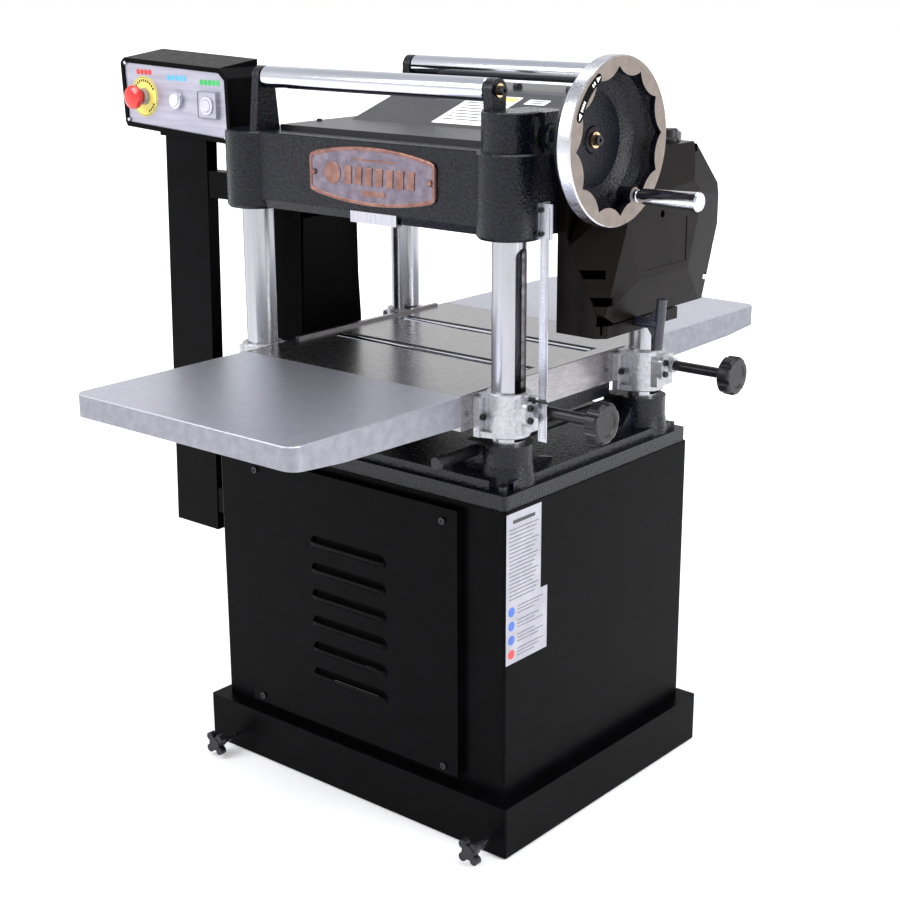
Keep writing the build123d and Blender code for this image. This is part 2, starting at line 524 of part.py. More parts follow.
save("cutterhead", cut, knives, pul, pinion)

CL_Y, CL_Z = 29.0, 987.5
cl = toothed_x(366, 378, CL_Y, CL_Z, 59.5, 44, 2.5)
cl += cx(378, 386, CL_Y, CL_Z, 16) + toothed_x(386, 400, CL_Y, CL_Z, 19.0, 14, 2.5)
cl += cx(353, 420, CL_Y, CL_Z, 9.0)
save("gear_cluster", cl)

for nm, fy in (("infeed_roller", INF_Y), ("outfeed_roller", OUTF_Y)):
    if nm == "infeed_roller":
        r = toothed_x(-250, 250, fy, FEED_Z, FEED_R, 30, 1.6)
    else:
        r = cx(-250, 250, fy, FEED_Z, FEED_R)
    r += cx(-300, 396, fy, FEED_Z, 12.0)
    gg = toothed_x(386, 396, fy, FEED_Z, 38, 30, 2.5) - cx(380, 400, fy, FEED_Z, 12.0)
    save(nm, r, gg)

def loop(rs, e):
    """Convex loop around three sprockets (y, z, r), every radius grown by e."""
    out = None
    n = len(rs)
    pts = []
    for i in range(n):
        y0, z0, r0 = rs[i]
        y1, z1, r1 = rs[(i + 1) % n]
        d = sqrt((y1 - y0) ** 2 + (z1 - z0) ** 2)
        a = atan2(z1 - z0, y1 - y0) - acos((r0 - r1) / d)
        pts.append((y0 + (r0 + e) * cos(a), z0 + (r0 + e) * sin(a)))
        pts.append((y1 + (r1 + e) * cos(a), z1 + (r1 + e) * sin(a)))
    s = px(pts, 389.5, 392.5)
    for y0, z0, r0 in rs:
        s += cx(389.5, 392.5, y0, z0, r0 + e)
    return s


RS = [(CL_Y, CL_Z, 19.0), (OUTF_Y, FEED_Z, 38.0), (INF_Y, FEED_Z, 38.0)]
save("drive_chains", lift_chain, loop(RS, 3.4) - loop(RS, 0.6))

# anti-kickback fingers on their rod
rod = cx(-274, 274, KICK_Y, KICK_Z, 8.0)
for i in range(24):
    fx = -230 + 20 * i
    rod += px([(KICK_Y - 9, KICK_Z + 6), (KICK_Y + 9, KICK_Z + 6), (KICK_Y + 10, KICK_Z - 40), (KICK_Y + 22, KICK_Z - 74), (KICK_Y + 12, KICK_Z - 78), (KICK_Y - 8, KICK_Z - 40)], fx - 5, fx + 5)
save("antikickback_fingers", rod)

# ================================================================ table
mt = box(-TABLE_W / 2, TABLE_W / 2, -TABLE_HALF_L, TABLE_HALF_L, TABLE_Z - 60, TABLE_Z)
mt = chamfer(mt.faces().sort_by(Axis.Z)[-1].edges(), 1.0)
mt -= box(-232, 232, -258, -110, 700, TABLE_Z - 20)
mt -= box(-232, 232, -98, 92, 700, TABLE_Z - 34)
mt -= box(-232, 232, 156, 258, 700, TABLE_Z - 20)
mt += box(-TABLE_W / 2, -TABLE_W / 2 + 9, -150, 248, TABLE_Z - 2, TABLE_Z + 5)
BED_R = 15.5
BED_Z = TABLE_Z + 0.5 - BED_R
for y in (INF_Y, OUTF_Y):
    mt -= box(-222, 228, y - 18, y + 18, TABLE_Z - 34, TABLE_Z + 10)
    mt -= cx(-240, 246, y, BED_Z, 7.3)
skirt = box(-250, 250, -150, 150, 712, TABLE_Z - 59.5) - box(-238, 238, -138, 138, 700, TABLE_Z - 50)
mt += skirt
save("main_table", mt)
for nm, y in (("bed_roller_front", INF_Y), ("bed_roller_rear", OUTF_Y)):
    save(nm, cx(-220, 226, y, BED_Z, BED_R) + cx(-238, 244, y, BED_Z, 7.0))


def wing(s):
    w = px([(s * 280, TABLE_Z), (s * 664, TABLE_Z), (s * 664, 760), (s * 557, 751.5), (s * 280, 746)], -TABLE_W / 2, TABLE_W / 2)
    ed = [e for e in w.edges().filter_by(Axis.Z) if abs(abs(e.center().Y) - 664) < 1]
    w = fillet(ed, 22)
    w = chamfer([e for e in w.edges() if abs(e.center().Z - TABLE_Z) < 0.01 and abs(e.center().Y) > 281], 1.5)
    for y0, y1, zt in ((298, 412, 780), (424, 538, 780), (550, 646, 782)):
        for x0, x1 in ((-236, -84), (-72, 72), (84, 236)):
            w -= box(x0, x1, s * y0, s * y1, 700, zt)
    return w


save("infeed_wing", wing(-1))
save("outfeed_wing", wing(1))

# table collars around the columns (fixed to the table sides)
KN_DY, KN_Z = 19.0, 769.0
collars, nuts = [], []
for sx, sy in C4:
    x, y = sx * COL_X, sy * COL_Y
    c = rev_z([(0.01, 723), (36, 723), (37.5, 725), (37.5, 796), (36, 798), (0.01, 798)], x, y)
    c += box(sx * 254, sx * 285, y - 34, y + 34, 727, 796)
    c += box(sx * 254, sx * 266, y - 47, y + 47, 723, 790)
    c += pz([(sx * 254, y - 47), (sx * 254, y + 47), (x + sx * 5, y + 36), (x + sx * 5, y - 36)], 723, 733)
    ky = y + KN_DY
    if sx > 0:
        c += cx(x, 345, ky, KN_Z, 14)
        c += box(x, 334, y - 22, ky + 10, 733, 790)
        c += cx(x, 343, y - 12, 758, 10.5) + cx(x, 343, y - 12, 779, 10.5) + box(x, 343, y - 22.5, y - 1.5, 758, 779)
    else:
        c += box(x, -334, y - 20, y + 20, 735, 788)
        c += cx(x, -343, y, 752, 10.5) + cx(x, -343, y, 776, 10.5) + box(x, -343, y - 10.5, y + 10.5, 752, 776)
    c -= cz(x, y, 700, 820, COL_R + 0.35)
    c -= box(-TABLE_W / 2, TABLE_W / 2, y - 60, y + 60, 700, 820)
    if sx > 0:
        c -= cx(x + 25, 350, ky, KN_Z, 6.6)
    collars.append(c)
    n = cz(x, y, 731, 771, COL_IR - 0.6)
    tng = box(x, x + sx * (COL_R + 6), y - SLOT_W / 2 + 0.4, y + SLOT_W / 2 - 0.4, 731, 771) & cz(x, y, 731, 771, COL_R + 0.35)
    n += tng
    n -= cz(x, y, 700, 800, SCREW_R + 0.3)
    nuts.append(n)
save("table_collars", collars)
save("lift_nuts", nuts)

# small parts that ride on the table: bolts, screws, height pointer
fit = []
for sx, sy in C4:
    x, y = sx * COL_X, sy * COL_Y
    for s in (-1, 1):
        fit.append(socket_x(sx * 266, y + s * 40.5, 757 if s < 0 else 757, 5.4, 6, 2.6, sx))
    if sx > 0:
        for z in (758, 779):
            fit.append(socket_x(343, y - 12, z, 5.6, 5, 2.8))
    else:
        for z in (752, 776):
            fit.append(socket_x(-343, y, z, 5.6, 5, 2.8, -1))
for s in (-1, 1):
    for wx in (-160, 0, 160):
        fit.append(socket_y(wx, s * 298, 768, 8, 8, 4, s))
PTR_Y = -197.0
ptr = box(334, 346.5, -203.5, -200.5, 785, 795) + pz([(346, -202.5), (346, -201), (368, -201), (371, -201.7), (368, -202.5)], 788, 792)
fit.append(ptr)
save("table_fittings", fit)

# lock knobs
for nm, sy in (("lock_knob_front", -1), ("lock_knob_rear", 1)):
    ky = sy * COL_Y + KN_DY
    k = rev_x([(443, 0.01), (443, 13), (448, 16), (450, 30), (453, 34), (471, 34.5), (474.5, 32.5), (476, 29), (476, 22), (474, 19), (474, 0.01)], ky, KN_Z)
    for i in range(7):
        a = 2 * pi * i / 7 + pi / 2
        k -= cx(440, 480, ky + 38.5 * cos(a), KN_Z + 38.5 * sin(a), 8.5)
    k += cx(346, 446, ky, KN_Z, 9.3)
    k += cx(COL_X + COL_R + 0.6 - 3.2, 347, ky, KN_Z, 6.2)
    k -= cz(COL_X, sy * COL_Y, 700, 900, COL_R + 0.65)
    save(nm, k)

# ================================================================ scale and its bracket
SC_Y = -198.0
rul = box(350, 367, SC_Y, SC_Y + 1.2, 722, 1104)
brk = box(344, 372, SC_Y + 1.2, SC_Y + 3.4, 1054, 1110) + box(344, 346.4, -198, -168, 1054, 1110)
save("height_scale", rul, brk)

# ================================================================ left side: belt guard, motor, belts
GX0, GX1 = -440.0, -346.0
gp = [(-46, 330), (138, 330), (127, 790), (108, 1080), (82, 1136), (-18, 1136), (-40, 1080)]
gi = [(-43, 333), (135, 333), (124, 790), (105, 1079), (80, 1133), (-16, 1133), (-37, 1079)]
guard = px(gp, GX0, GX1) - px(gi, GX0 + 3, GX1 + 5)
guard += px([(-43, 640), (124.8, 640), (120, 1000), (-30, 1000)], GX1 - 2.5, GX1) 
guard -= cx(-360, -330, CUT_Y, CUT_Z, 30)
save("belt_guard", guard)

mot = cx(-296, -40, MOTOR_Y, MOTOR_Z, 88)
mot += cx(-40, -8, MOTOR_Y, MOTOR_Z, 82)
mot += box(-250, -80, MOTOR_Y - 70, MOTOR_Y + 70, MOTOR_Z - 98, MOTOR_Z - 80)
mot += box(-200, -110, MOTOR_Y - 128, MOTOR_Y - 70, MOTOR_Z - 34, MOTOR_Z + 40)
mot -= cx(-300, -60, MOTOR_Y, MOTOR_Z, 74)
mot += cx(-296, -288, MOTOR_Y, MOTOR_Z, 80) 
mot -= cx(-300, -280, MOTOR_Y, MOTOR_Z, 12.4)
mot += px([(MOTOR_Y - 60, 352), (MOTOR_Y + 60, 352), (MOTOR_Y + 60, 340), (MOTOR_Y - 60, 340)], -339, -60)
save("motor_housing", mot)

mp = cx(-416, -64, MOTOR_Y, MOTOR_Z, 12.0)
rot_ = cx(-278, -110, MOTOR_Y, MOTOR_Z, 70)
MPR = 58.0
mpl = rev_x([(-412, 12.0), (-412, MPR), (-409, MPR), (-405, MPR - 5), (-401, MPR), (-397, MPR), (-393, MPR - 5), (-389, MPR), (-385, MPR), (-381, MPR - 5), (-377, MPR), (-366, MPR), (-366, 12.0)], MOTOR_Y, MOTOR_Z)
save("motor_pulley", mp + rot_, mpl)


def belt(xc, r1, r2, w, g, th):
    """Belt loop around two pulleys at the motor (r1) and the cutterhead (r2)."""
    def hull(e):
        d = sqrt((CUT_Y - MOTOR_Y) ** 2 + (CUT_Z - MOTOR_Z) ** 2)
        R1, R2 = r1 + e, r2 + e
        ang = atan2(CUT_Z - MOTOR_Z, CUT_Y - MOTOR_Y)
        q = acos((R1 - R2) / d)
        pts = []
        for s in (1, -1):
            a = ang + s * q
            pts.append(((MOTOR_Y + R1 * cos(a), MOTOR_Z + R1 * sin(a)), (CUT_Y + R2 * cos(a), CUT_Z + R2 * sin(a))))
        poly = [pts[0][0], pts[0][1], pts[1][1], pts[1][0]]
        return px(poly, xc - w / 2, xc + w / 2) + cx(xc - w / 2, xc + w / 2, MOTOR_Y, MOTOR_Z, R1) + cx(xc - w / 2, xc + w / 2, CUT_Y, CUT_Z, R2)
    return hull(g + th) - hull(g)


save("v_belts", [belt(x, MPR, 36.0, 8.0, 0.6, 5.0) for x in (-405, -393, -381)])

# ================================================================ control post and box
POST_Y0, POST_Y1 = -190.0, -164.0
post = py([(-570, 387), (-451, 387), (-433, 1157.5), (-547, 1157.5)], POST_Y0, POST_Y1)
post -= py([(-567, 390), (-454, 390), (-436, 1154.5), (-550, 1154.5)], POST_Y0 + 3, POST_Y1 - 3)
# bracket to the head boss and one foot on the cabinet side
brkt = box(-437, -330, POST_Y0 + 2, POST_Y1, 1050, 1100)
brkt -= cz(-COL_X, -COL_Y, 1000, 1200, BOSS_R)
foot = box(-450, -CAB_X, POST_Y0 + 2, POST_Y1 - 2, 425, 475)
save("control_post", post + foot + brkt)

CB_Y0, CB_Y1 = -204.0, -107.0
cb_pts = [(-640, 1171.5), (-362, 1155), (-351, 1163), (-354, 1272), (-374, 1289.5), (-640, 1300), (-651, 1291), (-645, 1180)]

cb = extrude(Plane(origin=(0, CB_Y1, 0), x_dir=(1, 0, 0), z_dir=(0, -1, 0)) * Polygon(*cb_pts, align=None), amount=CB_Y1 - CB_Y0, dir=(0, -1, 0))
cb = fillet(cb.edges().filter_by(Axis.Y), 5)
CB_RISE = 12.0
wedge = extrude(Plane(origin=(0, 0, 0), x_dir=(0, 1, 0), z_dir=(1, 0, 0)) * Polygon((CB_Y0 + 2, -4), (CB_Y1, -4), (CB_Y1, CB_RISE), (CB_Y0 + 2, 0), align=None), amount=264, dir=(1, 0, 0))
cb += Pos(-640, 0, 1300) * Rot(0, 2.26, 0) * wedge
cb_in = extrude(Plane(origin=(0, CB_Y1 - 3, 0), x_dir=(1, 0, 0), z_dir=(0, -1, 0)) * offset(Polygon(*cb_pts, align=None), amount=-12), amount=CB_Y1 - 3 - CB_Y0 - 6, dir=(0, -1, 0))
cb -= cb_in
pan_sk = offset(Polygon(*cb_pts, align=None), amount=-9)
cb -= extrude(Plane(origin=(0, CB_Y0 + 6, 0), x_dir=(1, 0, 0), z_dir=(0, -1, 0)) * pan_sk, amount=20, dir=(0, -1, 0))
cb += box(-560, -424, -192, -162, 1158, 1172)
BTN = {"stop": (-588.0, 1229.5), "start": (-406.5, 1221.5)}
for bx, bz in BTN.values():
    cb -= cy(bx, CB_Y0 - 1, CB_Y0 + 30, bz, 11.4)
post_top = 1156.0
save("control_box", cb)
panel = extrude(Plane(origin=(0, CB_Y0 + 6, 0), x_dir=(1, 0, 0), z_dir=(0, -1, 0)) * offset(Polygon(*cb_pts, align=None), amount=-9), amount=3, dir=(0, -1, 0))
LAMP = (-495.0, 1227.5)
panel += cy(LAMP[0], CB_Y0 + 3, CB_Y0 - 5, LAMP[1], 17) + cy(LAMP[0], CB_Y0 + 3, CB_Y0 - 7, LAMP[1], 12)
panel += box(-432, -381, CB_Y0 - 4, CB_Y0 + 3, 1198, 1247)
panel += cy(BTN['stop'][0], CB_Y0 + 3, CB_Y0 - 9, BTN['stop'][1], 15)
for bx, bz in BTN.values():
    panel -= cy(bx, CB_Y0 - 20, CB_Y0 + 30, bz, 11.4)
save("control_panel", panel)
sbx, sbz = BTN["stop"]
btn = rev_y([(0.01, CB_Y0 - 34), (15, CB_Y0 - 33), (20, CB_Y0 - 30), (21, CB_Y0 - 26), (20, CB_Y0 - 22), (15, CB_Y0 - 19), (11, CB_Y0 - 18), (11, CB_Y0 + 16), (0.01, CB_Y0 + 16)], sbx, sbz)
save("stop_button", btn)
sbx, sbz = BTN["start"]
btn = rev_y([(0.01, CB_Y0 - 8.5), (10, CB_Y0 - 8.5), (11, CB_Y0 - 7.5), (11, CB_Y0 + 16), (0.01, CB_Y0 + 16)], sbx, sbz)
save("start_button", btn)

# ================================================================ fasteners of the fixed frame
ms = []
for sx, sy in C4:
    ms.append(socket_z(sx * 319, sy * 251, STEP_Z1, 8.0, 10, 4.0))
for sx in (-230, 221):
    for sz in (128, 580):
        ms.append(cy(sx, -CAB_Y - 19, -CAB_Y - 15, sz, 6.0) - cy(sx, -CAB_Y - 21, -CAB_Y - 17.5, sz, 3.0))
for s in (-1, 1):
    ms.append(cy(pxc + s * (hw - 12), -BEAM_Y - 6, -BEAM_Y - 3, pzc, 5.0))
for z in (1062, 1100):
    ms.append(socket_y(352, SC_Y - 0.0, z + 0, 4.4, 3.6, 2.2))
for z in (1066, 1098):
    ms.append(socket_x(346.4, -180, z, 4.2, 3.2, 2.2))
for y in (-COL_Y, COL_Y):
    ms.append(cx(BR_R1, BR_R1 + 2, y, ROLL_Z, 11))
    ms.append(socket_x(BR_R1 + 2, y, ROLL_Z, 7.5, 9, 3.6))
    ms.append(cx(BR_L0, BR_L0 - 2, y, ROLL_Z, 11))
    ms.append(socket_x(BR_L0 - 2, y, ROLL_Z, 7.5, 9, 3.6, -1))
ms.append(socket_x(GX0, 40, 977, 7, 4, 3.2, -1))
for z in (437, 463):
    ms.append(cy(-356, POST_Y0 - 1.5, POST_Y0 + 2, z, 5))
for z in (1062, 1088):
    ms.append(cy(-362, POST_Y0 - 2, POST_Y0 + 2, z, 5))
for sx in (-1, 1):
    for y in (-90, 60, 170):
        ms.append(socket_z(sx * 236, y, HEAD_Z1 + 9, 5, 3.5, 2.4))
save("machine_screws", ms)
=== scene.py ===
import bpy
import bmesh
import math
from mathutils import Matrix, Vector


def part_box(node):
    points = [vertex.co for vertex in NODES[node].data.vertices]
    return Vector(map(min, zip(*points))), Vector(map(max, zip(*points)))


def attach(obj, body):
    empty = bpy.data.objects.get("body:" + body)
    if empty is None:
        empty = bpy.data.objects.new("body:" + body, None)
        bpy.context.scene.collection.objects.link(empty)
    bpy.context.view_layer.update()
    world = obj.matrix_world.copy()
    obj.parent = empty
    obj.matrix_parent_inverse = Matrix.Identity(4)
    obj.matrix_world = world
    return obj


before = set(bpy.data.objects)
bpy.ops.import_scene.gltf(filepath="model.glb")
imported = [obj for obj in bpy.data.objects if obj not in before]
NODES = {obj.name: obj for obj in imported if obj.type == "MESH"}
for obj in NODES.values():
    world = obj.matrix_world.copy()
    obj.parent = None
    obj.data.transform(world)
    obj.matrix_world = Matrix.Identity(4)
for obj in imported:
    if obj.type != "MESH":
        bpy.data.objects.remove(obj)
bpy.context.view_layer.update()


# ---------------------------------------------------------------- camera
CAM = Vector((1.90888, -2.27033, 1.48409))
yaw, pitch, roll = math.radians(40.13), math.radians(16.70), math.radians(-0.26)
fwd = Vector((-math.sin(yaw) * math.cos(pitch), math.cos(yaw) * math.cos(pitch), -math.sin(pitch)))
right = Vector((math.cos(yaw), math.sin(yaw), 0))
up = right.cross(fwd)
cr, sr = math.cos(roll), math.sin(roll)
r2 = cr * right + sr * up
u2 = -sr * right + cr * up
cam_data = bpy.data.cameras.new("camera")
cam_data.lens = 66.036
cam_data.sensor_width = 36
cam_data.clip_end = 100
cam = bpy.data.objects.new("camera", cam_data)
bpy.context.scene.collection.objects.link(cam)
cam.matrix_world = Matrix(((r2.x, u2.x, -fwd.x, CAM.x), (r2.y, u2.y, -fwd.y, CAM.y), (r2.z, u2.z, -fwd.z, CAM.z), (0, 0, 0, 1)))
bpy.context.scene.camera = cam


# ---------------------------------------------------------------- materials
def make(name, color, metallic=0.0, rough=0.5, color2=None, vscale=30.0, vdetail=3.0, rvar=0.06, rscale=60.0, bump=0.0, bscale=500.0, bdist=0.0004,
         stretch=(1, 1, 1), kind="noise", coat=0.0, coat_rough=0.2, spec=0.5, aniso=0.0, emit=None, fine=None):
    m = bpy.data.materials.new(name)
    m.use_nodes = True
    nt = m.node_tree
    p = nt.nodes["Principled BSDF"]
    L = nt.links.new
    tc = nt.nodes.new("ShaderNodeTexCoord")
    mp = nt.nodes.new("ShaderNodeMapping")
    mp.inputs["Scale"].default_value = stretch
    L(tc.outputs["Object"], mp.inputs["Vector"])
    n1 = nt.nodes.new("ShaderNodeTexNoise")
    n1.inputs["Scale"].default_value = vscale
    n1.inputs["Detail"].default_value = vdetail
    L(mp.outputs["Vector"], n1.inputs["Vector"])
    ramp = nt.nodes.new("ShaderNodeValToRGB")
    c2 = color2 or [min(1.0, c * 1.18 + 0.004) for c in color]
    ramp.color_ramp.elements[0].position = 0.35
    ramp.color_ramp.elements[1].position = 0.68
    ramp.color_ramp.elements[0].color = (*color, 1)
    ramp.color_ramp.elements[1].color = (*c2, 1)
    L(n1.outputs["Fac"], ramp.inputs["Fac"])
    L(ramp.outputs["Color"], p.inputs["Base Color"])
    n2 = nt.nodes.new("ShaderNodeTexNoise")
    n2.inputs["Scale"].default_value = rscale
    n2.inputs["Detail"].default_value = 5
    L(mp.outputs["Vector"], n2.inputs["Vector"])
    mr = nt.nodes.new("ShaderNodeMapRange")
    mr.inputs["From Min"].default_value = 0.3
    mr.inputs["From Max"].default_value = 0.7
    mr.inputs["To Min"].default_value = max(0.02, rough - rvar)
    mr.inputs["To Max"].default_value = min(1.0, rough + rvar)
    L(n2.outputs["Fac"], mr.inputs["Value"])
    L(mr.outputs["Result"], p.inputs["Roughness"])
    p.inputs["Metallic"].default_value = metallic
    p.inputs["Specular IOR Level"].default_value = spec
    p.inputs["Coat Weight"].default_value = coat
    p.inputs["Coat Roughness"].default_value = coat_rough
    p.inputs["Anisotropic"].default_value = aniso
    if emit:
        p.inputs["Emission Color"].default_value = (*emit[0], 1)
        p.inputs["Emission Strength"].default_value = emit[1]
    if bump > 0:
        if kind == "noise":
            b = nt.nodes.new("ShaderNodeTexNoise")
            b.inputs["Scale"].default_value = bscale
            b.inputs["Detail"].default_value = 3
            out = b.outputs["Fac"]
            L(mp.outputs["Vector"], b.inputs["Vector"])
        elif kind == "voronoi":
            b = nt.nodes.new("ShaderNodeTexVoronoi")
            b.feature = "SMOOTH_F1"
            b.inputs["Scale"].default_value = bscale
            out = b.outputs["Distance"]
            L(mp.outputs["Vector"], b.inputs["Vector"])
        else:
            b = nt.nodes.new("ShaderNodeTexWave")
            b.wave_type = "BANDS"
            b.bands_direction = "Z"
            b.wave_profile = "TRI"
            b.inputs["Scale"].default_value = bscale
            b.inputs["Distortion"].default_value = 0
            out = b.outputs["Fac"]
            L(tc.outputs["Object"], b.inputs["Vector"])
        bp = nt.nodes.new("ShaderNodeBump")
        bp.inputs["Strength"].default_value = bump
        bp.inputs["Distance"].default_value = bdist
        L(out, bp.inputs["Height"])
        L(bp.outputs["Normal"], p.inputs["Normal"])
    return m


MAT = {
    "wrinkle": make("wrinkle_black", (0.0008, 0.0008, 0.0014), 0.0, 0.22, (0.0080, 0.0086, 0.016), 230, 3, 0.06, 300, 1.0, 200, 0.0013, spec=0.26),
    "wheel_in": make("cast_wheel_black", (0.0010, 0.0009, 0.0014), 0.0, 0.26, (0.0080, 0.0086, 0.016), 300, 3, 0.08, 420, 1.0, 260, 0.0012, spec=0.22),
    "powder": make("powder_black", (0.0012, 0.0012, 0.0015), 0.0, 0.34, (0.0022, 0.0022, 0.0028), 24, 3, 0.05, 90, 0.2, 900, 0.00015, spec=0.035),
    "cover": make("cover_black", (0.0034, 0.0024, 0.0022), 0.0, 0.32, (0.0056, 0.0040, 0.0036), 18, 3, 0.05, 60, 0.16, 1100, 0.00012, spec=0.09),
    "hood": make("hood_black", (0.0030, 0.0028, 0.005), 0.0, 0.34, (0.010, 0.010, 0.017), 380, 4, 0.08, 400, 0.5, 600, 0.0004, spec=0.5),
    "iron": make("ground_iron", (0.27, 0.262, 0.27), 1.0, 0.25, (0.33, 0.32, 0.33), 40, 6, 0.05, 90, 0.10, 420, 0.0001, stretch=(9, 0.8, 4)),
    "wing": make("cast_silver", (0.47, 0.48, 0.55), 0.95, 0.38, (0.54, 0.55, 0.62), 40, 6, 0.05, 120, 0.12, 700, 0.00014, stretch=(5, 1.2, 2)),
    "hammer": make("hammered_silver", (0.34, 0.34, 0.37), 0.6, 0.34, (0.46, 0.46, 0.50), 160, 3, 0.08, 120, 0.6, 240, 0.0006, kind="voronoi", spec=0.6),
    "steel": make("ground_steel", (0.36, 0.36, 0.39), 1.0, 0.24, (0.44, 0.44, 0.48), 30, 5, 0.05, 200, 0.05, 900, 0.0001, stretch=(1, 1, 0.08)),
    "screw": make("screw_steel", (0.20, 0.19, 0.185), 1.0, 0.34, (0.42, 0.40, 0.38), 60, 4, 0.08, 200, 1.0, 15.915, 0.0012, kind="wave"),
    "chrome": make("polished_steel", (0.60, 0.62, 0.68), 1.0, 0.10, (0.66, 0.68, 0.74), 20, 3, 0.025, 120, 0.03, 900, 0.00006, stretch=(0.2, 3, 3)),
    "rim": make("turned_rim", (0.50, 0.50, 0.54), 1.0, 0.24, (0.60, 0.60, 0.64), 60, 5, 0.06, 260, 0.10, 800, 0.00012),
    "alu": make("satin_alu", (0.44, 0.44, 0.49), 1.0, 0.30, (0.52, 0.52, 0.57), 60, 4, 0.07, 220, 0.12, 900, 0.00012, stretch=(3, 1, 0.3)),
    "plastic": make("black_plastic", (0.008, 0.0076, 0.009), 0.0, 0.34, (0.014, 0.013, 0.015), 40, 3, 0.06, 90, 0.18, 1400, 0.0001, spec=0.30),
    "navy": make("dark_navy_plastic", (0.010, 0.011, 0.020), 0.0, 0.30, (0.018, 0.019, 0.032), 40, 3, 0.05, 90, 0.15, 1200, 0.0001, spec=0.55),
    "rubber": make("black_rubber", (0.016, 0.016, 0.016), 0.0, 0.62, (0.026, 0.026, 0.026), 60, 3, 0.08, 150, 0.3, 700, 0.0003),
    "copper": make("antique_copper", (0.20, 0.105, 0.088), 1.0, 0.32, (0.31, 0.175, 0.148), 60, 4, 0.10, 200, 0.25, 500, 0.0003),
    "field": make("plate_field", (0.13, 0.105, 0.14), 0.6, 0.40, (0.21, 0.18, 0.225), 70, 4, 0.06, 160, 0.25, 800, 0.0002),
    "brass": make("brass_washer", (0.78, 0.55, 0.28), 1.0, 0.22, (0.86, 0.64, 0.36), 90, 4, 0.06, 220, 0.1, 900, 0.0001),
    "bronze": make("bronze_nut", (0.50, 0.33, 0.16), 1.0, 0.34, (0.62, 0.43, 0.22), 90, 4, 0.06, 220, 0.15, 900, 0.0002),
    "oxide": make("black_oxide", (0.016, 0.016, 0.018), 0.6, 0.32, (0.03, 0.03, 0.034), 120, 3, 0.06, 200, 0.15, 900, 0.0001),
    "panel": make("panel_silver", (0.33, 0.32, 0.39), 0.45, 0.36, (0.41, 0.40, 0.48), 10, 3, 0.05, 120, 0.08, 900, 0.0001, stretch=(1, 1, 12)),
    "red": make("red_gloss", (0.50, 0.008, 0.006), 0.0, 0.22, (0.62, 0.014, 0.010), 30, 2, 0.04, 80, 0.06, 900, 0.0001, coat=0.4),
    "green": make("green_gloss", (0.01, 0.32, 0.07), 0.0, 0.24, (0.02, 0.42, 0.10), 30, 2, 0.04, 80, 0.06, 900, 0.0001, coat=0.4),
    "yellow": make("yellow_gloss", (0.72, 0.62, 0.12), 0.0, 0.34, (0.80, 0.70, 0.18), 30, 2, 0.04, 80, 0.06, 900, 0.0001),
    "white": make("white_print", (0.80, 0.80, 0.80), 0.0, 0.42, (0.86, 0.86, 0.86), 30, 2, 0.05, 80, 0.05, 900, 0.0001),
    "blue": make("blue_print", (0.03, 0.10, 0.42), 0.0, 0.40, (0.05, 0.14, 0.50), 30, 2, 0.05, 80, 0.05, 900, 0.0001),
    # dark: the real black print of the handwheel label, and painted shade for the cabinet interior behind the louvre
    # slots
    "dark": make("black_label_and_painted_shade", (0.0012, 0.0012, 0.0012), 0.0, 0.7, (0.002, 0.002, 0.002), 30, 2, 0.05, 60, spec=0.05),
    "ink": make("dark_ink", (0.02, 0.02, 0.022), 0.0, 0.45, (0.035, 0.035, 0.04), 60, 2, 0.05, 80, 0.05, 900, 0.0001),
    # a darker copy of cast_silver: painted shade for the wing faces that do not face up
    "wing_side_shade": make("cast_silver_painted_shade", (0.22, 0.225, 0.26), 0.9, 0.42, (0.27, 0.275, 0.31), 60, 5, 0.06, 160, 0.25, 500, 0.0003),
    "face": make("satin_face", (0.19, 0.160, 0.142), 0.75, 0.42, (0.235, 0.20, 0.178), 60, 5, 0.05, 260, 0.06, 800, 0.0001),
    "label": make("label_grey", (0.30, 0.295, 0.34), 0.0, 0.45, (0.36, 0.355, 0.40), 30, 3, 0.05, 80, 0.05, 900, 0.0001),
    "print": make("grey_print", (0.13, 0.13, 0.15), 0.0, 0.45, (0.17, 0.17, 0.19), 60, 2, 0.05, 80, 0.05, 900, 0.0001),
    "pale": make("pale_key", (0.46, 0.44, 0.56), 0.0, 0.30, (0.54, 0.52, 0.64), 30, 2, 0.05, 80, 0.05, 900, 0.0001),
    "skyblue": make("sky_print", (0.06, 0.34, 0.62), 0.0, 0.40, (0.08, 0.40, 0.70), 30, 2, 0.05, 80, 0.05, 900, 0.0001),
    "lens": make("lamp_lens", (0.80, 0.82, 0.84), 0.0, 0.12, (0.86, 0.88, 0.90), 40, 2, 0.03, 80, 0.25, 300, 0.0004, coat=0.6),
}

